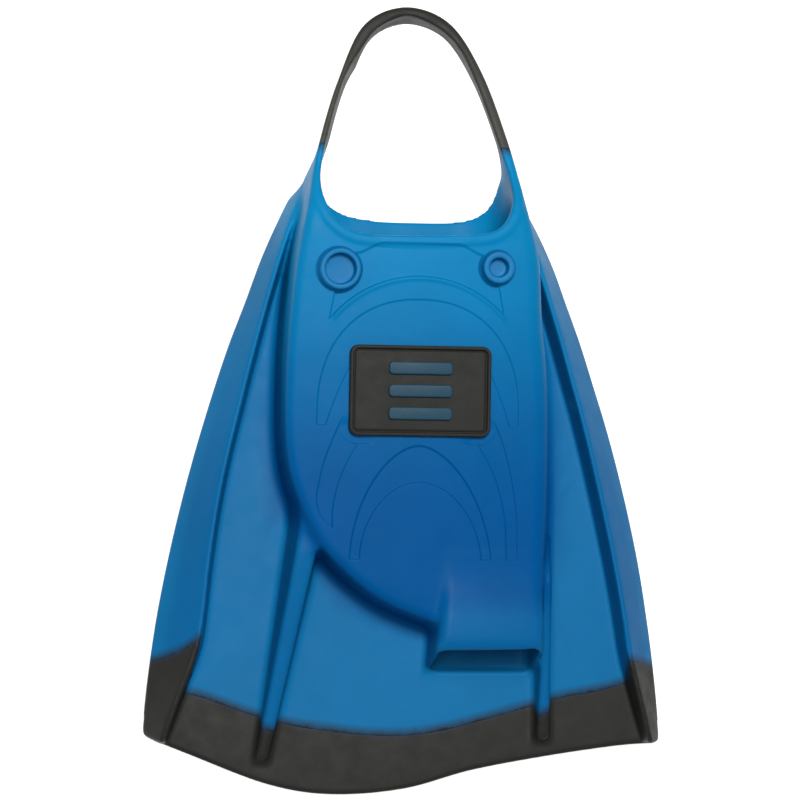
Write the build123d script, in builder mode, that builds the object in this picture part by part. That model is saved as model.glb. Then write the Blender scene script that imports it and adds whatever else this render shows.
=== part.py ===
"""Open-heel swim training fin for a right foot, moulded in two silicones.

The fin lies on its sole: +Z is up from the ground, +Y points to the heel and
+X to the big-toe side.  The origin is the middle of the footprint, on the
ground.  All sizes are millimetres.

Three bodies: the foot pocket with the stiff part of the blade, the flexing
blade end, and the heel strap.  Each hinge line has a round seat about its
axis, so that the moving end turns in it with a small clearance.
"""

import os

from build123d import *

os.makedirs("parts", exist_ok=True)

# ---------------------------------------------------------------- heights
TREAD = 1.5  # grip bars under the sole
SOLE = 4.0  # sole panel thickness
WEB_LOW, WEB_HIGH = 6.0, 10.0  # blade web
STRAP_LOW, STRAP_HIGH = 24.0, 46.0  # heel strap band
TALL = 80.0  # taller than everything, for cutting blocks
WIDE = 150.0  # reaches past either side from the middle
LONG = 200.0  # reaches past either end from the middle

# ---------------------------------------------------------------- pocket
WALL = 5.0  # pocket wall and strap thickness
PANEL = 4.0  # instep panel thickness
HEEL_Y, HEEL_Z = 70.0, 52.0  # heel end of the instep's top face
TOE_Y, TOE_Z = -100.0, 33.0  # toe end of the same face
SLOPE = (HEEL_Z - TOE_Z) / (HEEL_Y - TOE_Y)
PANEL_END_Y = 64.0  # the instep panel meets the opening rim
SOLE_END_Y = 81.0  # heel edge of the sole
ARM_START_Y = 76.0  # side walls become strap arms
CORNER_Y = -48.0  # little-toe corner
RIM_LOW, RIM_HIGH = 46.5, 53.5
RIM_END_Y = 92.0

# ---------------------------------------------------------------- toe hood
HOOD_LEFT, HOOD_RIGHT = 10.0, 57.7
HOOD_BACK, HOOD_LIP, HOOD_FOOT = -69.0, -109.5, -117.0
HOOD_TOP, HOOD_WALL = 38.0, 4.0
RIB_TIP_Y = -152.0

# ---------------------------------------------------------------- hinges
FLEX_Y, FLEX_Z, FLEX_R = -134.5, 13.0, 16.0
STRAP_Y, STRAP_Z, STRAP_R = 118.0, 35.0, 11.2
SEAT_GAP = 0.3  # clearance between a rounded end and its seat
STRAP_BACK = 6.8  # the arms stop this far before the strap's axis

FLOOR = TREAD + SOLE


def instep_z(y):
    """Height of the instep's sloping top face at y."""
    return TOE_Z + (y - TOE_Y) * SLOPE


def instep_plane(x, y):
    """Plane lying on the instep's top face, with its origin above (x, y)."""
    return Plane(origin=(x, y, instep_z(y)), x_dir=(1, 0, 0), z_dir=(0, -SLOPE, 1))


def block(x0, x1, y0, y1, z0=-TALL, z1=TALL):
    """A plain box between two corners, made apart from any part."""
    size = Box(x1 - x0, y1 - y0, z1 - z0, mode=Mode.PRIVATE)
    return Pos((x0 + x1) / 2, (y0 + y1) / 2, (z0 + z1) / 2) * size


def across(y, z, radius):
    """A long cylinder along X through (y, z), made apart from any part."""
    rod = Cylinder(radius, 2 * WIDE, mode=Mode.PRIVATE)
    return Pos(0, y, z) * Rot(0, 90, 0) * rod


def inset_points(loop, inset, count=28):
    """Points a constant distance inside a closed anticlockwise loop."""
    points = []
    for step in range(count):
        along = loop.tangent_at(step / count)
        points.append(loop.position_at(step / count) + Vector(-along.Y, along.X) * inset)
    return points


def save(builder, name):
    """Label a finished piece and write its STEP file."""
    builder.part.label = name
    export_step(builder.part, f"parts/{name}.step")


# What belongs to each moving body: its rounded end and all that lies beyond.
blade_zone = across(FLEX_Y, FLEX_Z, FLEX_R) + block(-WIDE, WIDE, -LONG, FLEX_Y)
blade_seat = across(FLEX_Y, FLEX_Z, FLEX_R + SEAT_GAP) + block(-WIDE, WIDE, -LONG, FLEX_Y)
strap_zone = across(STRAP_Y, STRAP_Z, STRAP_R) + block(-WIDE, WIDE, STRAP_Y, LONG)
strap_seat = across(STRAP_Y, STRAP_Z, STRAP_R + SEAT_GAP)
strap_seat += block(-WIDE, WIDE, STRAP_Y - STRAP_BACK, LONG)

# ------------------------------------------------------- shell of the pocket
# One smooth loop runs round the heel strap, both sides and the toes.
SHELL = [
    (-5.4, 172.3),
    (-25.0, 163.0),
    (-36.9, 137.0),
    (-44.8, 110.0),
    (-49.2, 86.0),
    (-54.6, 56.0),
    (-58.0, 15.0),
    (-56.6, -30.0),
    (-42.0, -68.0),
    (-19.7, -93.7),
    (9.2, -106.0),
    (38.0, -109.0),
    (57.0, -98.0),
    (62.8, -66.0),
    (63.6, -30.0),
    (62.6, 15.0),
    (57.2, 56.0),
    (49.0, 86.0),
    (41.3, 112.5),
    (30.0, 144.0),
    (15.2, 165.6),
]

with BuildSketch() as shell_face:
    with BuildLine():
        Spline(*SHELL, periodic=True)
    make_face()

with BuildSketch() as cavity_face:
    with BuildLine():
        Spline(*inset_points(shell_face.edge(), WALL), periodic=True)
    make_face()

with BuildPart() as shell_prism:
    add(shell_face.sketch)
    extrude(amount=TALL)

with BuildPart() as cavity_prism:
    add(cavity_face.sketch)
    extrude(amount=TALL)

# Side view of pocket, arms and strap, as one closed outline.
with BuildPart() as side_block:
    with BuildSketch(Plane.YZ):
        with BuildLine():
            sole_line = Line((-125, TREAD), (SOLE_END_Y - 3, TREAD))
            heel_sweep = Spline(
                sole_line @ 1,
                (92, 9),
                (102, STRAP_LOW),
                tangents=[(1, 0.05), (0.6, 1)],
            )
            strap_edge = Polyline(
                heel_sweep @ 1,
                (LONG, STRAP_LOW),
                (LONG, STRAP_HIGH),
                (106, STRAP_HIGH),
            )
            rim_fall = Spline(
                strap_edge @ 1,
                (88, 48.2),
                (HEEL_Y, HEEL_Z),
                tangents=[(-1, 0), (-1, 0.1)],
            )
            Polyline(rim_fall @ 1, (-125, instep_z(-125)), sole_line @ 0)
        make_face()
    extrude(amount=WIDE, both=True)

# ------------------------------------------------------- ribs beside the toes
with BuildPart() as rib_wedge:
    with BuildSketch(Plane.YZ):
        with BuildLine():
            Polyline(
                (CORNER_Y + 8, WEB_LOW),
                (CORNER_Y + 8, 32),
                (RIB_TIP_Y, WEB_HIGH + 2),
                (RIB_TIP_Y - 2, WEB_LOW),
                close=True,
            )
        make_face()
    extrude(amount=WIDE, both=True)

with BuildPart() as left_rib:
    with BuildSketch():
        with BuildLine():
            outer = Spline((-49, CORNER_Y + 4), (-54.3, -79), (-63.2, -146))
            end = ThreePointArc(outer @ 1, (-62.4, RIB_TIP_Y), (-60, -147))
            inner = Spline(end @ 1, (-53.2, -127), (-40.2, -70.4))
            Line(inner @ 1, outer @ 0)
        make_face()
    extrude(amount=TALL)
    add(rib_wedge.part, mode=Mode.INTERSECT)
    add(shell_prism.part, mode=Mode.SUBTRACT)

with BuildPart() as right_rib:
    with BuildSketch():
        with BuildLine():
            side = Polyline(
                (58.6, -148.8),
                (HOOD_RIGHT, -114),
                (HOOD_RIGHT, HOOD_BACK),
                (64.4, HOOD_BACK),
                (64.0, -148.8),
            )
            ThreePointArc(side @ 1, (61.3, RIB_TIP_Y), side @ 0)
        make_face()
    extrude(amount=TALL)
    add(rib_wedge.part, mode=Mode.INTERSECT)

# ------------------------------------------------------- toe hood envelope
with BuildPart() as hood_block:
    with BuildSketch(Plane.YZ.offset(HOOD_LEFT)):
        with BuildLine():
            Polyline(
                (HOOD_BACK, TREAD),
                (HOOD_BACK, HOOD_TOP),
                (HOOD_LIP, HOOD_TOP),
                (HOOD_FOOT, WEB_HIGH),
                (HOOD_FOOT, TREAD),
                close=True,
            )
        make_face()
    extrude(amount=HOOD_RIGHT - HOOD_LEFT)
    top_sides = edges().filter_by(Axis.Y).sort_by(Axis.Z)[-2:]
    fillet(top_sides, radius=3.5)

hood_tunnel = block(
    HOOD_LEFT + HOOD_WALL,
    HOOD_RIGHT - HOOD_WALL,
    -LONG,
    LONG,
    -TALL,
    HOOD_TOP - HOOD_WALL,
)

# ------------------------------------------------------- ring of side walls
with BuildPart() as ring:
    add(shell_prism.part)
    add(cavity_prism.part, mode=Mode.SUBTRACT)
    add(side_block.part, mode=Mode.INTERSECT)
    add(hood_block.part, mode=Mode.SUBTRACT)
    add(right_rib.part, mode=Mode.SUBTRACT)

RING_ZONES = {
    "pocket_wall_left": block(-WIDE, 0, CORNER_Y, ARM_START_Y),
    "pocket_wall_right": block(HOOD_LEFT, WIDE, -LONG, ARM_START_Y),
    "toe_wall": block(-WIDE, HOOD_LEFT, -LONG, CORNER_Y),
    "strap_arm_left": block(-WIDE, 0, ARM_START_Y, STRAP_Y),
    "strap_arm_right": block(0, WIDE, ARM_START_Y, STRAP_Y),
}
for name, zone in RING_ZONES.items():
    with BuildPart() as wall:
        add(ring.part)
        add(zone, mode=Mode.INTERSECT)
        add(strap_seat, mode=Mode.SUBTRACT)
    save(wall, name)

with BuildPart() as heel_strap:
    add(ring.part)
    add(strap_zone, mode=Mode.INTERSECT)
save(heel_strap, "heel_strap")

# ------------------------------------------------------- sole
with BuildPart() as sole_panel:
    add(cavity_prism.part)
    add(block(-WIDE, WIDE, -LONG, SOLE_END_Y, TREAD, FLOOR), mode=Mode.INTERSECT)
    add(
        block(
            HOOD_LEFT + HOOD_WALL,
            HOOD_RIGHT - HOOD_WALL,
            HOOD_FOOT,
            HOOD_BACK,
            TREAD,
            FLOOR,
        )
    )
save(sole_panel, "sole_panel")

TREAD_BARS, TREAD_PITCH, TREAD_LENGTH, TREAD_WIDTH = 10, 13.0, 62.0, 6.0
with BuildPart() as sole_tread:
    with BuildSketch():
        with Locations((3.0, 2.0)):
            with GridLocations(0, TREAD_PITCH, 1, TREAD_BARS):
                SlotOverall(TREAD_LENGTH, TREAD_WIDTH)
    extrude(amount=TREAD)
save(sole_tread, "sole_tread")

# ------------------------------------------------------- toe hood
toe_room = cavity_prism.part & block(-WIDE, WIDE, -LONG, LONG, 0, HOOD_TOP - HOOD_WALL)
with BuildPart() as toe_hood:
    add(hood_block.part)
    add(hood_tunnel, mode=Mode.SUBTRACT)
    add(toe_room, mode=Mode.SUBTRACT)
save(toe_hood, "toe_hood")

# ------------------------------------------------------- opening rim
with BuildPart() as opening_rim:
    with BuildSketch(Plane.XY.offset(RIM_LOW)):
        add(cavity_face.sketch)
        with Locations((0, (PANEL_END_Y + RIM_END_Y) / 2)):
            Rectangle(2 * WIDE, RIM_END_Y - PANEL_END_Y, mode=Mode.INTERSECT)
        with Locations((1.5, 120)):
            RectangleRounded(83, 101, 13, mode=Mode.SUBTRACT)
    extrude(amount=RIM_HIGH - RIM_LOW)
    over_edge = faces().sort_by(Axis.Z)[-1].edges().filter_by(Axis.X)
    chamfer(over_edge, length=1.5)
save(opening_rim, "opening_rim")

# ------------------------------------------------------- instep panel
with BuildPart() as instep_slab:
    with BuildSketch(Plane.YZ):
        with BuildLine():
            Polyline(
                (PANEL_END_Y, instep_z(PANEL_END_Y) - PANEL),
                (PANEL_END_Y, instep_z(PANEL_END_Y)),
                (-125, instep_z(-125)),
                (-125, instep_z(-125) - PANEL),
                close=True,
            )
        make_face()
    extrude(amount=WIDE, both=True)

GROOVE = 0.9  # depth of the arch and the two leaves below the badge
with BuildPart() as instep_panel:
    add(cavity_prism.part)
    add(instep_slab.part, mode=Mode.INTERSECT)
    add(hood_block.part, mode=Mode.SUBTRACT)
    with BuildSketch(instep_plane(1.5, 0)):
        with BuildLine():
            crown = ThreePointArc((-26, -68), (0, -22), (31, -68))
            inside = Line(crown @ 1, (26.5, -68))
            under = ThreePointArc(inside @ 1, (0, -36), (-21, -68))
            Line(under @ 1, crown @ 0)
        make_face()
        with BuildLine():
            leaf_out = ThreePointArc((-30, -18), (-42, -39), (-38, -57))
            ThreePointArc(leaf_out @ 1, (-34.5, -38), leaf_out @ 0)
        make_face()
        with BuildLine():
            leaf_out = ThreePointArc((31, -17), (44, -43), (43.5, -66))
            ThreePointArc(leaf_out @ 1, (37, -42), leaf_out @ 0)
        make_face()
    extrude(amount=-GROOVE, mode=Mode.SUBTRACT)
save(instep_panel, "instep_panel")

# ------------------------------------------------------- badge on the instep
BADGE_X, BADGE_Y = 1.4, 1.5  # badge centre
BADGE_LONG, BADGE_SHORT, BADGE_THICK = 61.8, 39.2, 2.6
BADGE_BORDER, BADGE_RECESS = 3.0, 1.0
BAR_LONG, BAR_SHORT, BAR_PITCH, BAR_RISE = 27.7, 5.2, 9.8, 1.6

with BuildPart() as badge_plate:
    with BuildSketch(instep_plane(BADGE_X, BADGE_Y)):
        RectangleRounded(BADGE_LONG, BADGE_SHORT, 4)
    extrude(amount=BADGE_THICK)
    chamfer(faces().sort_by(Axis.Z)[-1].outer_wire().edges(), length=0.5)
    with BuildSketch(instep_plane(BADGE_X, BADGE_Y).offset(BADGE_THICK)):
        RectangleRounded(BADGE_LONG - 2 * BADGE_BORDER, BADGE_SHORT - 2 * BADGE_BORDER, 2.5)
    extrude(amount=-BADGE_RECESS, mode=Mode.SUBTRACT)
save(badge_plate, "badge_plate")

for number in range(3):
    shift = (1 - number) * BAR_PITCH
    bar_plane = instep_plane(BADGE_X, BADGE_Y + shift)
    with BuildPart() as badge_bar:
        with BuildSketch(bar_plane.offset(BADGE_THICK - BADGE_RECESS)):
            SlotOverall(BAR_LONG, BAR_SHORT)
        extrude(amount=BAR_RISE)
    save(badge_bar, f"badge_bar_{number + 1}")

# ------------------------------------------------------- rings on the instep
RINGS = {
    "large_ring": (-34.3, 53.3, 9.3, 6.8),
    "small_ring": (34.9, 55.3, 7.4, 4.4),
}
RING_RISE = 4.5
for name, (x, y, outer_radius, hole_radius) in RINGS.items():
    with BuildPart() as boss:
        with BuildSketch(instep_plane(x, y)):
            Circle(outer_radius)
            Circle(hole_radius, mode=Mode.SUBTRACT)
        extrude(amount=RING_RISE)
        rounded = faces().sort_by(Axis.Z)[-1].edges()
        fillet(rounded, radius=0.8)
    save(boss, name)

# ------------------------------------------------------- raised crescent
RELIEF = 0.9
with BuildPart() as instep_relief:
    with BuildSketch(instep_plane(1.5, 0)):
        with BuildLine():
            crest = ThreePointArc((-44, -14), (0, 50.5), (44, -14))
            Spline(crest @ 1, (38, 22), (0, 41), (-39, 22), crest @ 0)
        make_face()
    extrude(amount=RELIEF)
save(instep_relief, "instep_relief")

# ------------------------------------------------------- side rails
# Each station: place along Y, half width at the ridge and at the outer edge,
# and the heights of the ridge and of the keel under it.
RAIL_STATIONS = [
    (90, 48.6, 51.6, 24, 5),
    (64, 59.6, 65.0, 26, 1),
    (36, 68.8, 75.2, 26, 0),
    (0, 77.8, 87.0, 26, 0),
    (-40, 85.6, 98.2, 26, 0),
    (-80, 91.2, 107.0, 26, 0),
    (-115, 95.2, 112.0, 26, 0),
    (-134, 102.0, 113.8, 23.5, 0),
    (-155, 108.6, 115.0, 19.5, 0),
]
RIDGE_FLAT = 3.0  # width of the rail's top
EDGE_LOW, EDGE_HIGH = 6.5, 10.0  # outermost edge of the rail

with BuildPart() as rail:
    for y, ridge, edge, ridge_z, keel_z in RAIL_STATIONS:
        lean = edge - ridge
        with BuildSketch(Plane.XZ.offset(-y)):
            with BuildLine():
                Polyline(
                    (ridge - RIDGE_FLAT / 2, ridge_z),
                    (ridge + RIDGE_FLAT / 2, ridge_z),
                    (edge, EDGE_HIGH),
                    (edge, EDGE_LOW),
                    (edge - 1 - 0.4 * lean, keel_z),
                    (ridge - 2, keel_z),
                    (ridge - 4, (WEB_LOW + WEB_HIGH) / 2),
                    close=True,
                )
            make_face()
    loft()
    add(shell_prism.part, mode=Mode.SUBTRACT)

with BuildPart() as other_rail:
    mirror(rail.part, about=Plane.YZ)
    add(shell_prism.part, mode=Mode.SUBTRACT)

# ------------------------------------------------------- blade plan
RIDGE_LINE = [(ridge, y) for y, ridge, edge, ridge_z, keel_z in RAIL_STATIONS[1:]]
TIP_EDGE = [
    (-112.6, -147.0),
    (-94.0, -155.5),
    (-60.0, -168.2),
    (-32.0, -172.4),
    (0.0, -170.0),
    (30.0, -162.0),
    (64.0, -155.6),
    (112.0, -149.6),
]

with BuildPart() as blade_plan:
    with BuildSketch():
        with BuildLine():
            tip_edge = Spline(*TIP_EDGE)
            right_corner = ThreePointArc(tip_edge @ 1, (114.2, -148.4), (115.6, -145))
            sides = Polyline(
                right_corner @ 1,
                (WIDE, -145),
                (WIDE, LONG),
                (-WIDE, LONG),
                (-WIDE, -140),
                (-115.6, -140),
            )
            ThreePointArc(sides @ 1, (-115.0, -143.8), tip_edge @ 0)
        make_face()
    extrude(amount=TALL)

with BuildPart() as web:
    with BuildSketch(Plane.XY.offset(WEB_LOW)):
        with BuildLine():
            right_ridge = Spline(*RIDGE_LINE)
            Line(right_ridge @ 1, (112, -LONG))
            Line((112, -LONG), (-112, -LONG))
            left_ridge = Spline(*[(-x, y) for x, y in RIDGE_LINE])
            Line(left_ridge @ 1, (-112, -LONG))
            Line(left_ridge @ 0, right_ridge @ 0)
        make_face()
    extrude(amount=WEB_HIGH - WEB_LOW)
    add(blade_plan.part, mode=Mode.INTERSECT)
    for solid in (shell_prism, rail, other_rail, left_rib, right_rib, hood_block):
        add(solid.part, mode=Mode.SUBTRACT)

with BuildPart() as fixed_web:
    add(web.part)
    add(blade_seat, mode=Mode.SUBTRACT)

# The two ribs part the web; a seed point tells the three panels apart.
WEB_SEEDS = {
    "web_left": (-72, -60, 8),
    "web_centre": (-20, -112, 8),
    "web_right": (76, -90, 8),
}
for name, seed in WEB_SEEDS.items():
    with BuildPart() as panel:
        add([s for s in fixed_web.part.solids() if s.is_inside(seed)])
    save(panel, name)

# ------------------------------------------------------- rails and ribs, cut
LONG_PIECES = {
    "rail_left": ("rail_tip_left", other_rail),
    "rail_right": ("rail_tip_right", rail),
    "rib_left": ("rib_tip_left", left_rib),
    "rib_right": ("rib_tip_right", right_rib),
}
for fixed_name, (tip_name, whole) in LONG_PIECES.items():
    with BuildPart() as fixed_piece:
        add(whole.part)
        add(blade_seat, mode=Mode.SUBTRACT)
    save(fixed_piece, fixed_name)
    with BuildPart() as tip_piece:
        add(whole.part)
        add(blade_zone, mode=Mode.INTERSECT)
        add(blade_plan.part, mode=Mode.INTERSECT)
    save(tip_piece, tip_name)

# ------------------------------------------------------- webs of the blade end
SHOT_LINE = [(-115, -123), (-88, -130), (-50, -140), (-11, -146), (34, -138), (79, -129), (115, -121)]
with BuildPart() as tip_shot:
    with BuildSketch():
        with BuildLine():
            shot_line = Spline(*SHOT_LINE)
            Polyline(shot_line @ 1, (115, -LONG), (-115, -LONG), shot_line @ 0)
        make_face()
    extrude(amount=TALL)

with BuildPart() as tip_web:
    add(web.part)
    add(blade_zone, mode=Mode.INTERSECT)
    add(tip_shot.part, mode=Mode.INTERSECT)
save(tip_web, "tip_web")

with BuildPart() as flex_web:
    add(web.part)
    add(blade_zone, mode=Mode.INTERSECT)
    add(tip_shot.part, mode=Mode.SUBTRACT)
save(flex_web, "flex_web")
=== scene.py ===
import math

import bmesh
import bpy
import numpy as np
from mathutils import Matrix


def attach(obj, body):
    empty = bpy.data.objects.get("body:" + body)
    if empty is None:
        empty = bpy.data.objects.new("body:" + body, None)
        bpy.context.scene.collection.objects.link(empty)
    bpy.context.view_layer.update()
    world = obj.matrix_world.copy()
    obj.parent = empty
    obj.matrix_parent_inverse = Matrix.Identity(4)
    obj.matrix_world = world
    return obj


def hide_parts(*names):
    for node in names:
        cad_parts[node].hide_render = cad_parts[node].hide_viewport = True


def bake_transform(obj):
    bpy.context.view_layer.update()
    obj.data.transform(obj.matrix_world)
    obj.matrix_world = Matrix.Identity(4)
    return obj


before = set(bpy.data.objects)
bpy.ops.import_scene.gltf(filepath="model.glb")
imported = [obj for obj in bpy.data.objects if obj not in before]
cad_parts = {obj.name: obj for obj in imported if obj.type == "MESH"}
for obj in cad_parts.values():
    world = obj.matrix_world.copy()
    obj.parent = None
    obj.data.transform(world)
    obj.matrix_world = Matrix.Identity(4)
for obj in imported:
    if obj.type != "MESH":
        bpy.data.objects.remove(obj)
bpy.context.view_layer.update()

import openvdb
from mathutils import Matrix, Vector

# Shapes are worked out in millimetres, in the CAD's own frame, as distance
# fields: negative inside the silicone.  The field becomes one closed mesh,
# which is then parted along the two colour changes.
MM = 0.001  # metres in a millimetre
VOXEL = 0.9  # pitch of the field's grid
SKIN_TRIANGLES = 135000  # the skin is thinned to this before its fine lines are cut in

# ------------------------------------------------------------------ heights
FLOOR_TOP = 5.5  # inside face of the sole
SOLE_LOW = 1.5  # outside face of the sole, above the grip bars' feet
WEB_LOW, WEB_HIGH = 6.0, 10.0
STRAP_LOW, STRAP_HIGH = 24.0, 46.0
WALL_THICK = 4.6
INSTEP_THICK = 4.2
HEEL_Y, HEEL_Z = 70.0, 52.0  # upper end of the instep's slope
TOE_Y, TOE_Z = -100.0, 33.0  # lower end of the instep's slope
SLOPE = (HEEL_Z - TOE_Z) / (HEEL_Y - TOE_Y)
AXIS_X = 1.0  # middle of the instep
STRAP_LEAN = 0.16  # the strap's lower edge stands this much further right per mm
STRAP_COLOUR_Y = 109.0  # the strap turns from blue to charcoal here


# ------------------------------------------------------------ field helpers
def step(value, low, high):
    """Rises smoothly from 0 at low to 1 at high."""
    t = np.clip((value - low) / (high - low), 0, 1)
    return t * t * (3 - 2 * t)


def join(a, b, round_mm):
    """Union of two fields with a fillet."""
    h = np.maximum(round_mm - np.abs(a - b), 0) / round_mm
    return np.minimum(a, b) - h * h * round_mm / 4


def meet(a, b, round_mm):
    """Intersection of two fields with a rounded edge."""
    return -join(-a, -b, round_mm)


def curve(points, closed=False, pieces=12):
    """A smooth line through points, as closely spaced points."""
    p = np.array(points, float)
    if closed:
        p = np.vstack([p[-1], p, p[0], p[1]])
    else:
        p = np.vstack([2 * p[0] - p[1], p, 2 * p[-1] - p[-2]])
    line = []
    for a, b, c, d in zip(p[:-3], p[1:-2], p[2:-1], p[3:]):
        bend, ease = 2 * a - 5 * b + 4 * c - d, 3 * b - a - 3 * c + d
        for t in np.arange(pieces) / pieces:
            line.append(0.5 * (2 * b + (c - a) * t + bend * t * t + ease * t**3))
    if not closed:
        line.append(p[-2])
    return np.array(line)


def line_distance(line, x, y):
    """Distance in plan to a line of points."""
    nearest = np.full(np.broadcast(x, y).shape, 1e9, np.float32)
    for (ax, ay), (bx, by) in zip(line[:-1], line[1:]):
        ex, ey = bx - ax, by - ay
        t = np.clip(((x - ax) * ex + (y - ay) * ey) / (ex * ex + ey * ey), 0, 1)
        nearest = np.minimum(nearest, (x - ax - t * ex) ** 2 + (y - ay - t * ey) ** 2)
    return np.sqrt(nearest)


def outline_distance(line, x, y):
    """Signed distance in plan to a closed outline, negative inside."""
    inside = np.zeros(np.broadcast(x, y).shape, bool)
    for (ax, ay), (bx, by) in zip(line, np.roll(line, -1, axis=0)):
        if ay != by:
            crosses = (ay > y) != (by > y)
            inside ^= crosses & (x < ax + (y - ay) / (by - ay) * (bx - ax))
    return np.where(inside, -1, 1) * line_distance(np.vstack([line, line[:1]]), x, y)


def along(table, place):
    """Columns of a table at every place, as smooth curves through its rows."""
    rows = np.array(sorted(table), float)
    knots, values = rows[:, 0], rows[:, 1:]
    slopes = np.gradient(values, knots, axis=0)
    flat = np.clip(np.ravel(place), knots[0], knots[-1])
    k = np.clip(np.searchsorted(knots, flat) - 1, 0, len(knots) - 2)
    gap = knots[k + 1] - knots[k]
    t = (flat - knots[k]) / gap
    start, end = 2 * t**3 - 3 * t**2 + 1, 3 * t**2 - 2 * t**3
    leave, arrive = (t**3 - 2 * t**2 + t) * gap, (t**3 - t**2) * gap
    columns = []
    for value, slope in zip(values.T, slopes.T):
        column = start * value[k] + end * value[k + 1] + leave * slope[k] + arrive * slope[k + 1]
        columns.append(column.reshape(np.shape(place)).astype(np.float32))
    return columns


# ------------------------------------------------------------------ outlines
SHELL = curve(
    [
        (-5.4, 172.3),
        (-25.0, 163.0),
        (-36.9, 137.0),
        (-44.8, 110.0),
        (-49.2, 86.0),
        (-54.6, 56.0),
        (-58.0, 15.0),
        (-57.4, -24.0),
        (-50.8, -48.3),
        (-39.0, -69.0),
        (-16.6, -88.4),
        (9.2, -99.5),
        (38.0, -109.0),
        (57.0, -98.0),
        (63.2, -66.0),
        (64.6, -30.0),
        (63.6, 15.0),
        (57.2, 56.0),
        (49.7, 86.0),
        (42.0, 112.5),
        (30.0, 144.0),
        (15.2, 165.6),
    ],
    closed=True,
)

# Inner edge of the heel opening: rim first, then round the strap.
OPENING = curve(
    [
        (0.2, 68.6),
        (26.6, 69.8),
        (35.6, 72.6),
        (40.4, 79.0),
        (42.0, 88.0),
        (40.2, 98.0),
        (35.0, 113.5),
        (27.4, 134.5),
        (19.4, 151.6),
        (9.5, 161.2),
        (-4.8, 166.4),
        (-17.5, 159.6),
        (-26.0, 149.0),
        (-33.0, 135.8),
        (-39.6, 112.0),
        (-42.2, 97.0),
        (-42.0, 88.0),
        (-40.0, 81.6),
        (-36.6, 75.6),
        (-30.0, 70.6),
        (-21.0, 68.6),
    ],
    closed=True,
)

# place along Y, height of the underside: flat sole, then up to the strap
UNDERSIDE = [
    (50, SOLE_LOW),
    (66, SOLE_LOW),
    (74, 1.8),
    (78.4, 2.8),
    (80.6, 4.2),
    (82.6, 6.8),
    (86.0, 10.8),
    (91, 15.6),
    (96, 19.9),
    (103, 23.4),
    (112, 24.0),
    (124, 24.0),
]

# place along Y, distance of the ridge and of the outer edge from the middle,
# height of the ridge, height of the keel
RAIL_LEFT = [
    (93, 46.4, 50.4, 24.5, 9),
    (84, 50.2, 54.8, 25.5, 5),
    (64, 57.0, 63.6, 26, 1),
    (44, 62.8, 70.8, 26, 0),
    (24, 68.2, 78.2, 26, 0),
    (0, 74.2, 85.9, 26, 0),
    (-40, 83.4, 97.1, 26, 0),
    (-72, 88.3, 104.4, 26, 0),
    (-98, 91.2, 109.2, 26, 0),
    (-106, 92.4, 110.4, 26, 0),
    (-132, 101.2, 113.6, 23.6, 0),
    (-156, 109.4, 115.4, 19.0, 0),
]
RAIL_RIGHT = [
    (93, 47.4, 51.4, 24.5, 9),
    (84, 51.0, 57.0, 25.5, 5),
    (64, 57.0, 66.8, 26, 1),
    (45, 62.6, 73.8, 26, 0),
    (27, 67.9, 80.2, 26, 0),
    (9, 72.8, 85.8, 26, 0),
    (-8, 77.4, 91.0, 26, 0),
    (-43, 85.6, 100.0, 26, 0),
    (-70, 91.2, 105.6, 26, 0),
    (-96, 95.7, 109.6, 26, 0),
    (-110, 97.8, 111.4, 25.6, 0),
    (-132, 103.4, 113.6, 23.4, 0),
    (-156, 110.2, 115.3, 18.6, 0),
]

TIP_EDGE = [
    (-115.0, -139.0),
    (-115.4, -144.0),
    (-112.4, -147.6),
    (-94.0, -155.2),
    (-60.0, -168.0),
    (-32.0, -172.4),
    (0.0, -170.0),
    (30.0, -162.0),
    (64.0, -155.8),
    (95.0, -151.4),
    (112.4, -149.8),
    (115.4, -146.6),
    (115.0, -141.0),
]
BLADE = np.vstack([curve(TIP_EDGE), [(160, -141), (160, 96), (-160, 96), (-160, -139)]])

# Where the blade turns from blue to charcoal: on the web and under it, and
# over the outside of the rails.
WEB_COLOUR = [
    (-99, -128.6),
    (-92, -129.6),
    (-81, -133.0),
    (-67, -138.0),
    (-54, -141.4),
    (-31, -145.0),
    (-2, -146.8),
    (16, -144.6),
    (34, -140.2),
    (52, -135.2),
    (70, -130.2),
    (88, -126.8),
    (99, -124.0),
]
RAIL_COLOUR = [
    (-118, -115.6),
    (-111, -115.0),
    (-104, -112.8),
    (-98, -110.2),
    (-93, -106.4),
    (93, -113.6),
    (98, -114.2),
    (104, -115.2),
    (111, -116.6),
    (118, -117.6),
]


def instep_height(x, y):
    """The instep's top face: a slope, crowned a little across."""
    crown, half_width = 1.6, 52.0
    return TOE_Z + (y - TOE_Y) * SLOPE - crown * ((x - AXIS_X) / half_width) ** 2


def tip_colour_line(x, z):
    """Place along Y of the colour change at the blade's tip."""
    web = along(WEB_COLOUR, x)[0]
    rail = along(RAIL_COLOUR, x)[0]
    side = np.abs(x)
    # up the inner face of a rail the line climbs from the web's to the rail's
    rail_height = 15.5
    climb = np.clip((z - WEB_HIGH) / rail_height, 0, 1) * step(side, 84, 88)
    inner = web + (rail - web) * climb
    # over the ridge it's the rail's, and low down the web's runs on to the rail's foot
    above = step(z, 11, 18)
    ridge = np.where(x < 0, 99.0 - 7.5 * above, 101.0 - 3.0 * above)
    line = inner + (rail - inner) * step(side, ridge, ridge + 3.5)
    # on the ribs, between the rails, it lies nearer to the tip
    return line - 5.0 * step(z, 10.5, 16) * (1 - step(side, 74, 80))


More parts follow.
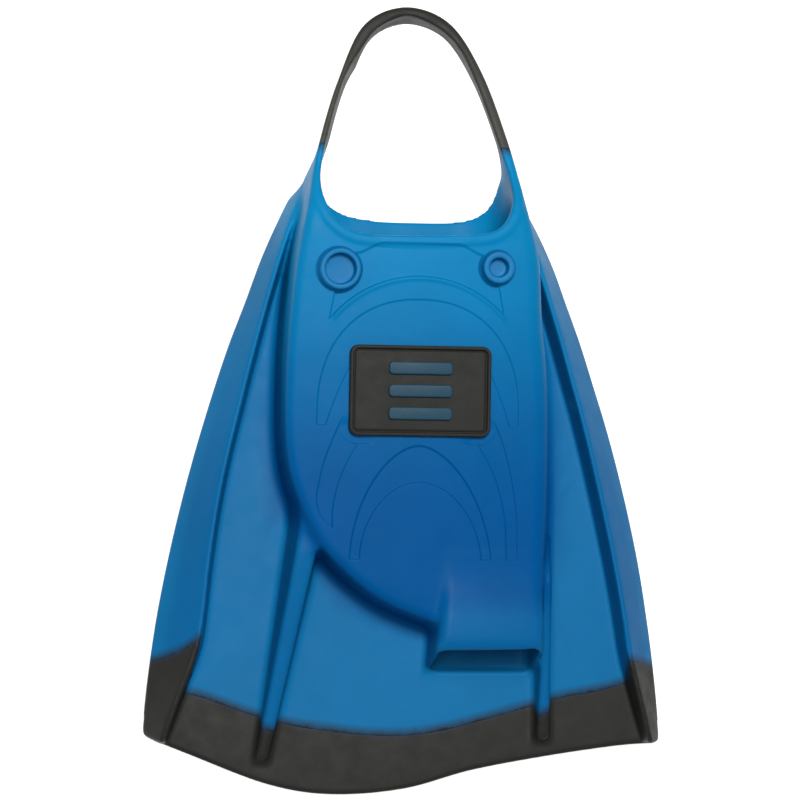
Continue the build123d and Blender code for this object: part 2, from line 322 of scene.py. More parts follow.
# ------------------------------------------------------------ instep relief
# place along Y, inner and outer edge of a leaf, measured from the middle
LEAF_LEFT = [
    (-66, 36.2, 30.0),
    (-57.7, 36.7, 36.9),
    (-52, 36.8, 42.0),
    (-46, 36.2, 43.7),
    (-37.4, 34.1, 42.6),
    (-29, 30.6, 40.7),
    (-21, 26.1, 37.8),
    (-13, 20.5, 34.4),
    (-5, 14.0, 31.0),
]
LEAF_RIGHT = [
    (-76, 40.2, 44.8),
    (-68.2, 39.8, 44.7),
    (-53.9, 39.0, 44.3),
    (-46, 37.4, 43.4),
    (-34.4, 33.8, 41.3),
    (-20.6, 25.9, 37.4),
    (-13, 20.5, 34.4),
    (-5, 14.0, 31.0),
]


# foot along Y, half width, height and power of each super-ellipse
DOME = (-8, 44.2, 48.8, 2.25)
ARCH_OUTER = (-72, 31.0, 49.9, 1.75)
ARCH_INNER = (-72, 26.7, 34.3, 1.9)
UPPER_ARC_Y, UPPER_ARC_RADIUS = 0.3, 50.6
HORN_Y = -13.3  # feet of the dome's horns
PATTERN_FOOT = -71  # leaves and arch end here
PANEL_DEPTH, DOME_DEPTH, LEAF_DEPTH, SHELF_DEPTH, ARCH_DEPTH = 0.85, 0.6, 0.6, 0.5, 0.75
LIP_HEIGHT = 0.45
SOFT = 0.3  # half width of the pattern's steps


def arc_gap(across, y, arc):
    """Distance inside an upright super-ellipse, roughly in millimetres."""
    foot, width, height, power = arc
    ratio = (across / width) ** power + (np.maximum(y - foot, 0) / height) ** power
    return (1 - ratio ** (1 / power)) * min(width, height)


def relief_depth(x, y):
    """How far the shallow pattern is sunk below the instep."""
    across = np.abs(x - AXIS_X)
    left = x < AXIS_X
    # panel above the upper arc, between the rings
    upper_arc = np.hypot(x - AXIS_X, y - UPPER_ARC_Y) - UPPER_ARC_RADIUS
    top_line = 64.8 - 4.6 * step(across, 16, 29) - y
    side_line = np.where(left, 39.4 - (y - 33) * 0.2, 36.6 - (y - 37) * 0.2) - across
    panel = step(upper_arc, -SOFT, SOFT) * step(side_line, -SOFT, SOFT)
    panel = panel * step(top_line, -0.7, 0.7) * (y > 20)
    # dome round the badge, inside the second arc, with a horn each side
    rise = y - HORN_Y
    horn_line = across - (40.3 - rise * 0.3 - 0.0038 * rise**2)
    dome = step(arc_gap(across, y, DOME), -SOFT, SOFT)
    dome = dome * np.maximum(step(horn_line, -SOFT, SOFT), y > 14)
    dome = dome * step(rise + 0.3, -0.4, 0.4)
    # leaves from the badge's lower corners, and a shelf round each corner
    left_in, left_out = along(LEAF_LEFT, y)
    right_in, right_out = along(LEAF_RIGHT, y)
    leaf_in = np.where(left, left_in, right_in)
    leaf_out = np.where(left, left_out, right_out)
    leaf = step(leaf_out - across, -SOFT, SOFT) * step(across - leaf_in, -SOFT, SOFT)
    corner = np.hypot(np.maximum(across - 27.0, 0), np.maximum(-14.0 - y, 0)) - 4.0
    shelf = step(3.4 - corner, -SOFT, SOFT) * step(-y, 11, 17) * step(across, 18, 24)
    foot = step(y - PATTERN_FOOT, -0.8, 0.8)
    leaf = leaf * foot * step(-y, 9, 15) * (1 - shelf)
    # arch over the toes, set a little further right at its foot
    middle = np.abs(x - (1.5 + (-22 - y) * 0.03))
    arch = step(arc_gap(middle, y, ARCH_OUTER), -SOFT, SOFT)
    arch = arch * step(-arc_gap(middle, y, ARCH_INNER), -SOFT, SOFT) * foot
    # the upper arc stands up as a fine lip
    lip = np.exp(-(((upper_arc + 1.0) / 0.9) ** 2)) * step(37.5 - across, -1, 1) * (y > 20)
    sunk = PANEL_DEPTH * panel + DOME_DEPTH * dome + LEAF_DEPTH * leaf
    return sunk + SHELF_DEPTH * shelf + ARCH_DEPTH * arch - LIP_HEIGHT * lip


# ------------------------------------------------------------------ the fin
def rail_field(x, y, z):
    """Both side rails, as an intersection of slanted faces."""
    bead_out, bead_in = 0.8, 0.9  # half widths of the bead along the ridge
    lean = np.where(x < 0, 0.18, 0.07)  # of the inner face
    edge_z = 9.5  # the outer face reaches the edge at this height
    left, right = along(RAIL_LEFT, y), along(RAIL_RIGHT, y)
    ridge, edge, ridge_z, keel = [np.where(x < 0, a, b) for a, b in zip(left, right)]
    side = np.abs(x)
    run = edge - ridge - bead_out
    drop = ridge_z - edge_z
    outer = ((side - ridge - bead_out) * drop + (z - ridge_z) * run) / np.hypot(run, drop)
    inner = (ridge - bead_in - (ridge_z - z) * lean) - side
    # bevels of the underside, towards the web and towards the edge
    under_in = ((ridge - 4.5) - side) * 0.9 + (WEB_LOW - z) * 0.42
    under_out = (side - edge) * 0.78 + (7.5 - z) * 0.62
    rail = meet(outer, inner, 1.0)
    rail = meet(rail, z - ridge_z, 0.8)
    rail = meet(rail, under_out, 2.0)
    rail = meet(rail, under_in, 1.5)
    rail = meet(rail, keel - z, 1.5)
    # rounded shoulder at the heel end
    shoulder = y - 93.5 + 0.05 * np.maximum(z - 14, 0) ** 2
    return meet(rail, shoulder, 5.0)


def rib_field(x, y, z):
    """The two ribs that run on from the pocket's walls."""
    # the left rib turns inwards and narrows towards the tip
    left_top = np.minimum(33.0 + (y + 60.0) * 0.195, 31.5)
    left_axis = -46.7 + (y + 70) * 0.19
    left_half = np.maximum(6.2 + (y + 70) * 0.049, 1.2)
    left = np.abs(x - left_axis) - left_half + (z - 18) * 0.15
    left = meet(left, z - left_top, 2.4)
    left = meet(left, -158.0 - y, 3.0)
    left = np.maximum(left, y + 48.0)
    # the right rib is straight and slender, beside the hood
    right_top = np.minimum(33.0 + (y + 70) * 0.225, 30.8) - 0.04 * np.maximum(y + 80, 0) ** 2
    right = np.abs(x - 61.0) - 2.9 + (z - 14) * 0.10
    right = meet(right, z - right_top, 2.2)
    right = meet(right, -149.0 - y, 2.8)
    right = np.maximum(right, y + 60.0)
    return np.maximum(np.minimum(left, right), WEB_LOW + 1 - z)


# The hood over the big toe and the slot through it, both flaring to the
# left by HOOD_FLARE per mm towards the tip: left faces are given at HOOD_Y.
HOOD_Y, HOOD_FLARE = -90, 0.09
HOOD_LEFT, HOOD_RIGHT = 11.6, 58.0
HOOD_BACK, HOOD_FRONT = -66.0, -118.2
SLOT_LEFT, SLOT_RIGHT, SLOT_TOP = 13.9, 56.0, 33.6


def hood_field(x, y, z):
    """The block over the big toe, before its slot is cut."""
    front = HOOD_FRONT + (z - WEB_HIGH) * 0.30
    left = HOOD_LEFT + (y - HOOD_Y) * HOOD_FLARE + np.maximum(z - 30, 0) * 0.10
    hood = meet(left - x, x - HOOD_RIGHT, 3.0)
    hood = meet(hood, front - y, 1.8)
    hood = np.maximum(hood, y - HOOD_BACK)
    # the top leaves the instep's slope and rises over the toe
    hood_top = instep_height(x, y) - 0.9 + 6.2 * step(-y, -HOOD_BACK, 108)
    hood = meet(hood, z - hood_top, 5.0)
    return np.maximum(hood, 2.0 - z)


def slot_field(x, y, z):
    """The toe slot through the hood: wide, low, and open to the foot's room."""
    lip = FLOOR_TOP + 5.4 * step(-y, 116.4, 119.9)
    slot_left = SLOT_LEFT + (y - HOOD_Y) * HOOD_FLARE
    slot = meet(np.maximum(slot_left - x, x - SLOT_RIGHT), z - SLOT_TOP, 3.4)
    slot = meet(slot, lip - z, 5.0)
    return np.maximum(slot, np.maximum(y + 92.0, -126.0 - y))


def leaning_outlines(x, y, z):
    """Distances to the shell and the opening, leaning with the strap."""
    lean = STRAP_LEAN * (STRAP_HIGH - np.clip(z, STRAP_LOW, STRAP_HIGH)) * step(y, 88, 116)
    shell_flat = outline_distance(SHELL, x, y)
    opening_flat = outline_distance(OPENING, x, y)
    # the outline's own slope across X turns the lean into a change of distance
    pitch = 0.5
    shell_slope = (outline_distance(SHELL, x + pitch, y) - shell_flat) / pitch
    opening_slope = (outline_distance(OPENING, x + pitch, y) - opening_flat) / pitch
    return shell_flat - lean * shell_slope, opening_flat - lean * opening_slope, opening_flat


def shell_field(x, y, z, wall_out, top, heel):
    """The pocket and strap, before their hollows are cut."""
    # the sole's heel end curves back at both sides, more at the left
    heel_curve = np.where(x < 0, 2.9, 1.1) * (x / 26.0) ** 2
    bottom = along(UNDERSIDE, y - heel_curve)[0]
    edge_round = 4.6 + 2.4 * step(x, 30, 50) * (1 - heel) - 2.6 * step(y, 66, 100)
    shell = meet(wall_out, z - top, edge_round)
    return meet(shell, bottom - z, 2.4 - 0.4 * heel)


def blade_field(x, y, z):
    """The web, with its rails and ribs, cut to the blade's outline."""
    ridge = np.where(x < 0, along(RAIL_LEFT, y)[0], along(RAIL_RIGHT, y)[0])
    web = meet(z - WEB_HIGH, WEB_LOW - z, 1.2)
    web = np.maximum(web, np.abs(x) - ridge - 2.0)
    web = np.maximum(web, y - 80.0)
    blade = join(web, rail_field(x, y, z), 1.4)
    blade = join(blade, rib_field(x, y, z), 3.0)
    return meet(blade, outline_distance(BLADE, x, y), 2.0)


def fin_field(x, y, z):
    """The whole moulding as one field."""
    shell, opening, opening_flat = leaning_outlines(x, y, z)
    heel = step(y, 72, 104)  # 0 on the instep, 1 on the strap

    # the walls lean in, the right one more, and the top bends level at the heel
    wall_lean = 0.05 + 0.12 * step(x, 20, 44) * (1 - step(y, 24, 66))
    wall_out = shell + wall_lean * np.clip(z - 8, 0, 40)
    slope_end = join(y, HEEL_Y, 14.0)
    top = instep_height(x, slope_end)
    top = top + (STRAP_HIGH - top) * heel
    rim = step(4.6 - opening_flat, -0.7, 0.7) * (1 - step(y, 84, 98))
    top = top + 0.75 * rim

    fin = shell_field(x, y, z, wall_out, top, heel)
    fin = join(fin, blade_field(x, y, z), 3.6)
    fin = join(fin, hood_field(x, y, z), 3.4 - 1.2 * step(z, 24, 32))

    # hollows: foot cavity, heel opening and toe slot
    ceiling = instep_height(x, slope_end) - INSTEP_THICK
    ceiling = ceiling + (STRAP_HIGH + 1.0 - ceiling) * step(y, 76, 100)
    dish = 9.0 + 15.0 * step(y, 45, 78) * (1 - step(y, 96, 108))
    cavity = meet(wall_out + WALL_THICK, z - ceiling, 5.0)
    cavity = meet(cavity, FLOOR_TOP - z, dish)
    mouth = meet(opening, FLOOR_TOP - z, dish)
    hollow = np.minimum(np.minimum(cavity, mouth), slot_field(x, y, z))
    return meet(fin, -hollow, 1.4)


def field_arrays(low, high, pitch):
    """A closed surface where the fin's field is zero: points and quads."""
    axes = [np.arange(a, b + pitch, pitch, dtype=np.float32) for a, b in zip(low, high)]
    x, y, z = axes[0][:, None, None], axes[1][None, :, None], axes[2][None, None, :]
    band = 3.0 * pitch  # the field is kept only this near to the surface
    volume = openvdb.FloatGrid()
    volume.background = band
    volume.copyFromArray(np.clip(fin_field(x, y, z), -band, band).astype(np.float32))
    points, quads = volume.convertToQuads(isovalue=0.0)
    return np.array(low) + points * pitch, quads[:, ::-1]


# ------------------------------------------------------------- mesh helpers
def show(name, mesh):
    """A smooth-shaded object with this mesh, in the scene."""
    mesh.name = name
    piece = bpy.data.objects.new(name, mesh)
    bpy.context.scene.collection.objects.link(piece)
    mesh.polygons.foreach_set("use_smooth", [True] * len(mesh.polygons))
    mesh.update()
    return piece


def quad_mesh(points, quads):
    """A mesh of these points and four-sided faces."""
    mesh = bpy.data.meshes.new("skin")
    mesh.vertices.add(len(points))
    mesh.vertices.foreach_set("co", points.astype(np.float32).ravel())
    mesh.loops.add(quads.size)
    mesh.loops.foreach_set("vertex_index", quads.astype(np.int32).ravel())
    mesh.polygons.add(len(quads))
    mesh.polygons.foreach_set("loop_start", np.arange(0, quads.size, 4, dtype=np.int32))
    mesh.update(calc_edges=True)
    mesh.validate()
    return mesh


def thinned(mesh, triangles):
    """The mesh with at most this many triangles, kept whole on the instep."""
    holder = bpy.data.objects.new("thinning", mesh)
    bpy.context.scene.collection.objects.link(holder)
    free = holder.vertex_groups.new(name="free")
    free.add(np.flatnonzero(~on_instep(mesh_points(mesh))).tolist(), 0.999, "REPLACE")
    decimate = holder.modifiers.new("thin", "DECIMATE")
    decimate.ratio = min(1.0, triangles / (2 * len(mesh.polygons)))
    decimate.vertex_group = "free"
    decimate.vertex_group_factor = 0.25
    graph = bpy.context.evaluated_depsgraph_get()
    result = bpy.data.meshes.new_from_object(holder.evaluated_get(graph))
    bpy.data.objects.remove(holder)
    bpy.data.meshes.remove(mesh)
    return result


def coordinates(items):
    """Places of bmesh vertices, one row each."""
    return np.array([vertex.co[:] for vertex in items], np.float64)


def place_all(vertices, points):
    """Moves bmesh vertices to the rows of an array."""
    for vertex, point in zip(vertices, points):
        vertex.co = point


def step_in(bm, rim, shift):
    """Adds a narrow band inside an open rim, so that a cap starts below the skin."""
    made = bmesh.ops.extrude_edge_only(bm, edges=rim)["geom"]
    inner = [item for item in made if isinstance(item, bmesh.types.BMVert)]
    points = coordinates(inner)
    x, z = points[:, 0], points[:, 2]
    reach, band = 0.4, 0.35  # for measuring the field's slope, and the band's width

    def field(x, z):
        return fin_field(x, shift(x, z), z)

    slope_x = field(x + reach, z) - field(x - reach, z)
    slope_z = field(x, z + reach) - field(x, z - reach)
    length = np.maximum(np.hypot(slope_x, slope_z), 1e-6)
    points[:, 0] -= band * slope_x / length
    points[:, 2] -= band * slope_z / length
    place_all(inner, points)


def cut_in_two(mesh, shift):
    """Parts a closed mesh where y = shift(x, z), and caps both parts.

    Returns the part towards the heel, then the part towards the tip.
    """
    halves = []
    for keep in (1, -1):
        bm = bmesh.new()
        bm.from_mesh(mesh)
        points = coordinates(bm.verts)
        points[:, 1] -= shift(points[:, 0], points[:, 2])
        place_all(bm.verts, points)
        everything = bm.verts[:] + bm.edges[:] + bm.faces[:]
        bmesh.ops.bisect_plane(
            bm,
            geom=everything,
            dist=1e-5,
            plane_co=(0, 0, 0),
            plane_no=(0, -keep, 0),
            clear_outer=True,
        )
        rim = [edge for edge in bm.edges if edge.is_boundary]
        step_in(bm, rim, shift)
        rim = [edge for edge in bm.edges if edge.is_boundary]
        caps = bmesh.ops.holes_fill(bm, edges=rim, sides=0)["faces"]
        bmesh.ops.triangulate(bm, faces=caps)
        points = coordinates(bm.verts)
        points[:, 1] += shift(points[:, 0], points[:, 2])
        place_all(bm.verts, points)
        bmesh.ops.recalc_face_normals(bm, faces=bm.faces[:])
        part = bpy.data.meshes.new("part")
        bm.to_mesh(part)
        bm.free()
        halves.append(part)
    bpy.data.meshes.remove(mesh)
    return halves


def on_instep(points):
    """Which points lie on the instep's top face."""
    x, y, z = points.T
    shell = outline_distance(SHELL, x, y)
    over = np.abs(z - instep_height(x, y)) < 1.6
    return over & (shell < -2.0) & (y < 66.0) & (y > -76.0)


def engraved_edge(middle, size):
    """Faces of the instep on or beside a line of the relief."""
    x, y = middle[:, 0], middle[:, 1]
    here = relief_depth(x, y)
    change = np.zeros(len(here))
    for turn in np.arange(8) * math.pi / 4:
        radius = 0.45 + size * 0.5
        there = relief_depth(x + radius * math.cos(turn), y + radius * math.sin(turn))
        change = np.maximum(change, np.abs(there - here))
    return on_instep(middle) & (size > 0.36) & (change > 0.04)


def colour_gap(middle):
    """Distance along Y from each face's middle to the nearer colour change."""
    tip = np.abs(middle[:, 1] - tip_colour_line(middle[:, 0], middle[:, 2]))
    strap = np.abs(middle[:, 1] - STRAP_COLOUR_Y)
    return np.minimum(tip, strap)


def colour_edge(middle, size):
    """Faces near a colour change."""
    return (size > 1.3) & (colour_gap(middle) < 4.0 + size)


def colour_line(middle, size):
    """Faces that a colour change crosses."""
    return (size > 0.8) & (colour_gap(middle) < 1.0 + size)


def refine(mesh, wanted, passes):
    """Divides the faces that the test picks, until none is left or the passes end."""
    bm = bmesh.new()
    bm.from_mesh(mesh)
    for _ in range(passes):
        faces = bm.faces[:]
        middle = np.array([face.calc_center_median()[:] for face in faces])
        size = np.array([max(edge.calc_length() for edge in face.edges) for face in faces])
        chosen = wanted(middle, size)
        edges = {edge for face, pick in zip(faces, chosen) if pick for edge in face.edges}
        if not edges:
            break
        bmesh.ops.subdivide_edges(bm, edges=list(edges), cuts=1, use_grid_fill=True)
    bmesh.ops.triangulate(bm, faces=[face for face in bm.faces if len(face.verts) > 4])
    bm.to_mesh(mesh)
    bm.free()


def engrave(mesh):
    """Sinks the relief into the instep."""
    points = mesh_points(mesh)
    x, y, z = points.T
    inset = step(-outline_distance(SHELL, x, y), 2.0, 3.5)
    points[:, 2] -= np.where(on_instep(points), relief_depth(x, y) * inset, 0)
    mesh.vertices.foreach_set("co", points.astype(np.float32).ravel())
    mesh.update()


def store(mesh, name, values):
    """Keeps one number per vertex for the material to read."""
    layer = mesh.attributes.new(name, "FLOAT", "POINT")
    layer.data.foreach_set("value", values.astype(np.float32))


def mesh_points(mesh):
    """Places of a mesh's vertices, one row each."""
    flat = np.empty(3 * len(mesh.vertices), np.float32)
    mesh.vertices.foreach_get("co", flat)
    return flat.reshape(-1, 3).astype(np.float64)


def to_metres(mesh):
    """Scales a mesh made in millimetres."""
    mesh.vertices.foreach_set("co", (mesh_points(mesh) * MM).astype(np.float32).ravel())
    mesh.update()


# ------------------------------------------------------------------ the skin
LOW, HIGH = (-122.0, -178.0, -3.0), (122.0, 178.0, 60.0)  # corners of the field's grid
skin = thinned(quad_mesh(*field_arrays(LOW, HIGH, VOXEL)), SKIN_TRIANGLES)
refine(skin, colour_line, 3)
rest, tip = cut_in_two(skin, tip_colour_line)
strap, blue = cut_in_two(rest, lambda x, z: STRAP_COLOUR_Y + 0 * x)
for mesh in (blue, tip, strap):
    refine(mesh, colour_edge, 3)
refine(blue, engraved_edge, 4)
engrave(blue)

# "thin" is 1 on the thin web, whose blue is painted paler there as painted glow of light through
# it and painted sheen (hood_tint adds a tint on the hood), and "edge" is the distance along Y
# from the nearer colour change
bx, by, bz = mesh_points(blue).T
shell_gap = outline_distance(SHELL, bx, by)
# painted glow and sheen: the thin web's blue is painted paler, less so on its raised parts
thin = step(shell_gap, 1.0, 7.0) * step(84 - by, 0, 12) * (1 - 0.4 * step(bz, 11, 17))
hood_tint = 0.5 * step(-by, 84, 100) * step(bx, 6, 18)
store(blue, "thin", np.maximum(thin, hood_tint))
store(blue, "edge", np.minimum(by - tip_colour_line(bx, bz), STRAP_COLOUR_Y - by))
tip_points = mesh_points(tip)
store(tip, "edge", tip_colour_line(tip_points[:, 0], tip_points[:, 2]) - tip_points[:, 1])
strap_points = mesh_points(strap)
store(strap, "edge", strap_points[:, 1] - STRAP_COLOUR_Y)

for mesh in (blue, tip, strap):
    to_metres(mesh)
blue_moulding = show("blue_moulding", blue)
charcoal_tip = show("charcoal_tip", tip)
strap_loop = show("strap_loop", strap)

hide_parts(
    "sole_panel", "instep_panel", "instep_relief", "pocket_wall_left", "pocket_wall_right",
    "toe_wall", "toe_hood", "opening_rim", "strap_arm_left", "strap_arm_right", "web_left",
    "web_centre", "web_right", "rail_left", "rail_right", "rib_left", "rib_right", "flex_web",
)
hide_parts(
    "tip_web", "rail_tip_left", "rail_tip_right", "rib_tip_left", "rib_tip_right",
)
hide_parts("heel_strap")

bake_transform(blue_moulding)
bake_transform(charcoal_tip)
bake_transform(strap_loop)


# ------------------------------------------------------- rings, badge, treads
TILT = Matrix.Rotation(math.atan(SLOPE), 4, "X")


def skinned(name, loops, place):
    """A closed solid skinned through a stack of equal loops, capped at both ends."""
    bm = bmesh.new()
    rows = [[bm.verts.new(point) for point in loop] for loop in loops]
    for lower, upper in zip(rows[:-1], rows[1:]):
        for k in range(len(lower)):
            n = (k + 1) % len(lower)
            bm.faces.new((lower[k], lower[n], upper[n], upper[k]))
    bm.faces.new(rows[0][::-1])
    bm.faces.new(rows[-1])
    for vertex in bm.verts:
        vertex.co = place @ (vertex.co * MM)
    bmesh.ops.recalc_face_normals(bm, faces=bm.faces[:])
    mesh = bpy.data.meshes.new(name)
    bm.to_mesh(mesh)
    bm.free()
    return show(name, mesh)


def on_plane(x, y):
    """Placement on the instep's slope above (x, y)."""
    return Matrix.Translation((x * MM, y * MM, float(instep_height(x, y)) * MM)) @ TILT


def circle(radius, height, count=64):
    """A circle as a loop of points."""
    turns = np.arange(count) / count * 2 * math.pi
    return [(radius * math.cos(t), radius * math.sin(t), height) for t in turns]


def rounded(length, width, corner, height, count=10):
    """A rounded rectangle as a loop of points."""
    loop = []
    for quarter in range(4):
        cx = (length / 2 - corner) * (1, -1, -1, 1)[quarter]
        cy = (width / 2 - corner) * (1, 1, -1, -1)[quarter]
        for t in np.linspace(quarter, quarter + 1, count) * math.pi / 2:
            loop.append((cx + corner * math.cos(t), cy + corner * math.sin(t), height))
    return loop


def ring(name, x, y, outer, hole):
    """A ring boss: radius and height of each loop, from its foot to its floor."""
    profile = [
        (outer + 1.9, -1.2), (outer + 1.2, -0.2), (outer + 0.7, 0.4), (outer + 0.4, 1.2),
        (outer + 0.15, 3.0), (outer, 4.6), (outer - 0.1, 5.0), (outer - 0.35, 5.3),
        (outer - 0.7, 5.4), (hole + 0.6, 5.4), (hole + 0.3, 5.25), (hole + 0.1, 4.9),
        (hole, 4.5), (hole - 0.05, 0.7), (hole - 0.3, 0.3), (hole - 0.8, 0.2),
        (hole * 0.5, 0.2),
    ]
    return skinned(name, [circle(r, h) for r, h in profile], on_plane(x, y))


large_ring = ring("ring_large", -34.6, 53.3, 8.9, 6.6)
small_ring = ring("ring_small", 34.6, 55.3, 6.9, 4.1)
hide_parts("large_ring")
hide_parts("small_ring")

# Profiles below are pairs of inset from the outline and height.
BADGE_X, BADGE_Y = 1.4, 1.5
BADGE_LONG, BADGE_SHORT, BADGE_CORNER = 61.8, 39.2, 4.0
BAR_LONG, BAR_SHORT, BAR_PITCH, BAR_CORNER = 27.9, 5.4, 9.8, 1.8
badge_profile = [
    (0.0, -1.4), (0.0, 1.9), (0.1, 2.3), (0.4, 2.55), (0.8, 2.6), (1.1, 2.6), (1.35, 2.5),
    (1.5, 2.2), (1.55, 1.1), (1.75, 0.8), (2.1, 0.8), (2.3, 1.2), (2.6, 1.4), (3.3, 1.45),
]
badge = skinned(
    "badge_frame",
    [
        rounded(BADGE_LONG - 2 * i, BADGE_SHORT - 2 * i, max(BADGE_CORNER - i, 0.8), h)
        for i, h in badge_profile
    ],
    on_plane(BADGE_X, BADGE_Y),
)
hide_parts("badge_plate")
bar_profile = [(0.0, 1.2), (0.0, 2.5), (0.1, 2.8), (0.3, 2.95), (0.7, 3.0)]
bars = []
for number in range(3):
    bar = skinned(
        f"badge_slat_{number + 1}",
        [
            rounded(BAR_LONG - 2 * i, BAR_SHORT - 2 * i, max(BAR_CORNER - i, 0.4), h)
            for i, h in bar_profile
        ],
        on_plane(BADGE_X, BADGE_Y) @ Matrix.Translation((0, (1 - number) * BAR_PITCH * MM, 0)),
    )
    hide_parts(f"badge_bar_{number + 1}")
    bars.append(bar)

TREADS, TREAD_LONG, TREAD_WIDE, TREAD_PITCH = 10, 62.0, 6.0, 13.0
TREAD_X, TREAD_Y = 3.0, 2.0  # middle of the grip bars
tread_profile = [(0.9, 0.0), (0.35, 0.12), (0.05, 0.5), (0.0, 1.0), (-0.3, 1.6), (-0.9, 2.2)]
tread_mesh = bmesh.new()
for number in range(TREADS):
    tread_y = TREAD_Y + (number - (TREADS - 1) / 2) * TREAD_PITCH
    holder = skinned(
        "tread",
        [
            rounded(TREAD_LONG - 2 * i, TREAD_WIDE - 2 * i, TREAD_WIDE / 2 - i - 0.001, h)
            for i, h in tread_profile
        ],
        Matrix.Translation((TREAD_X * MM, tread_y * MM, 0)),
    )
    tread_mesh.from_mesh(holder.data)
    mesh = holder.data
    bpy.data.objects.remove(holder)
    bpy.data.meshes.remove(mesh)
mesh = bpy.data.meshes.new("sole_grip_bars")
tread_mesh.to_mesh(mesh)
tread_mesh.free()
treads = show("sole_grip_bars", mesh)
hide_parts("sole_tread")

for piece in (large_ring, small_ring, treads):
    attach(piece, "pocket")
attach(badge, "pocket")
for bar in bars:
    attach(bar, "pocket")


# ------------------------------------------------------------------ materials
def linear(red, green, blue):
    """Linear colour from 0-255 screen values."""
    shares = [c / 255 for c in (red, green, blue)]
    return tuple(c / 12.92 if c <= 0.04045 else ((c + 0.055) / 1.055) ** 2.4 for c in shares)


class Finish:
    """A principled material with helpers that add nodes to it."""

    def __init__(self, name):
        self.material = bpy.data.materials.new(name)
        self.material.use_nodes = True
        self.nodes = self.material.node_tree.nodes
        self.links = self.material.node_tree.links
        self.shader = self.nodes["Principled BSDF"]
        self.where = self.nodes.new("ShaderNodeTexCoord").outputs["Object"]

    def noise(self, scale, detail=3.0, rough=0.5):
        """Noise over the surface, mostly between 0.3 and 0.7."""
        node = self.nodes.new("ShaderNodeTexNoise")
        node.inputs["Scale"].default_value = scale
        node.inputs["Detail"].default_value = detail
        node.inputs["Roughness"].default_value = rough
        self.links.new(self.where, node.inputs["Vector"])
        return node.outputs["Fac"]

    def spread(self, value, from_low, from_high, to_low, to_high):
        """Turns one range of numbers into another."""
        node = self.nodes.new("ShaderNodeMapRange")
        self.links.new(value, node.inputs["Value"])
        for k, number in enumerate((from_low, from_high, to_low, to_high)):
            node.inputs[k + 1].default_value = number
        return node.outputs["Result"]

    def attribute(self, name):
        """A number kept per vertex."""
        node = self.nodes.new("ShaderNodeAttribute")
        node.attribute_name = name
        return node.outputs["Fac"]

    def mix(self, factor, a, b):
        """Colour a at factor 0 and b at 1; each is a socket or a fixed value."""
        node = self.nodes.new("ShaderNodeMix")
        node.data_type = "RGBA"
        for socket, value in ((node.inputs[0], factor), (node.inputs[6], a), (node.inputs[7], b)):
            if isinstance(value, tuple):
                socket.default_value = (*value, 1)
            elif isinstance(value, float):
                socket.default_value = value
            else:
                self.links.new(value, socket)
        return node.outputs[2]

    def bump(self, height, strength, distance, under=None):
        """Bump, on top of the bump under it."""
        node = self.nodes.new("ShaderNodeBump")
        node.inputs["Strength"].default_value = strength
        node.inputs["Distance"].default_value = distance
        self.links.new(height, node.inputs["Height"])
        if under is not None:
            self.links.new(under, node.inputs["Normal"])
        return node.outputs["Normal"]

    def finish(self, colour, roughness, normal):
        """Joins the nodes to the shader."""
        self.links.new(colour, self.shader.inputs["Base Color"])
        self.links.new(roughness, self.shader.inputs["Roughness"])
        self.links.new(normal, self.shader.inputs["Normal"])
        return self.material


# The blue is painted darker towards the toe and lighter towards the heel, as a painted light
# falloff.
BLUE_TOE = linear(0, 77, 137)
BLUE_HEEL_LIT = linear(8, 122, 173)
BLUE_SHEEN_AND_TINT = linear(14, 104, 155)
CHARCOAL_TIP = linear(37, 37, 34)
# The strap's charcoal is painted lighter than the tip's, as a painted sheen.
CHARCOAL_HEEL_LIT = linear(63, 63, 58)


def mottled(f, colour, scale, amount):
    """Slightly lighter and darker clouds over a colour."""
    cloud = f.spread(f.noise(scale, 4, 0.55), 0.3, 0.7, 1 - amount, 1 + amount)
    node = f.nodes.new("ShaderNodeVectorMath")
    node.operation = "SCALE"
    f.links.new(colour, node.inputs[0])
    f.links.new(cloud, node.inputs["Scale"])
    return node.outputs[0]


def heel_light_ramp(f):
    """0 towards the toes and 1 towards the heel: the ramp along which light is painted brighter
    towards the heel.
    """
    node = f.nodes.new("ShaderNodeSeparateXYZ")
    f.links.new(f.where, node.inputs[0])
    rise = f.spread(node.outputs["Y"], -0.055, 0.09, 0.0, 1.0)
    rise.node.interpolation_type = "SMOOTHSTEP"
    return rise


def blue_silicone():
    """Blue with painted light falloff, brighter towards the heel, painted glow and sheen, paler
    on the thin web, a tint on the hood, and darkening at the charcoal.
    """
    f = Finish("blue_silicone")
    # painted light falloff: the blue is painted brighter towards the heel
    body = f.mix(heel_light_ramp(f), BLUE_TOE, BLUE_HEEL_LIT)
    # painted glow and sheen on the thin web, and a tint on the hood
    colour = mottled(f, f.mix(f.attribute("thin"), body, BLUE_SHEEN_AND_TINT), 30, 0.05)
    near = f.spread(f.attribute("edge"), 0.3, 4.4, 1.0, 0.0)
    ragged = f.spread(f.noise(240, 3, 0.6), 0.3, 0.7, 0.75, 1.0)
    multiply = f.nodes.new("ShaderNodeMath")
    multiply.operation = "MULTIPLY"
    f.links.new(near, multiply.inputs[0])
    f.links.new(ragged, multiply.inputs[1])
    colour = f.mix(multiply.outputs[0], colour, CHARCOAL_TIP)
    rough = f.spread(f.noise(90, 3), 0.3, 0.7, 0.34, 0.46)
    normal = f.bump(f.noise(2600, 2, 0.6), 0.10, 0.0002)
    normal = f.bump(f.noise(150, 3, 0.5), 0.08, 0.0012, normal)
    f.shader.inputs["Specular IOR Level"].default_value = 0.045
    return f.finish(colour, rough, normal)


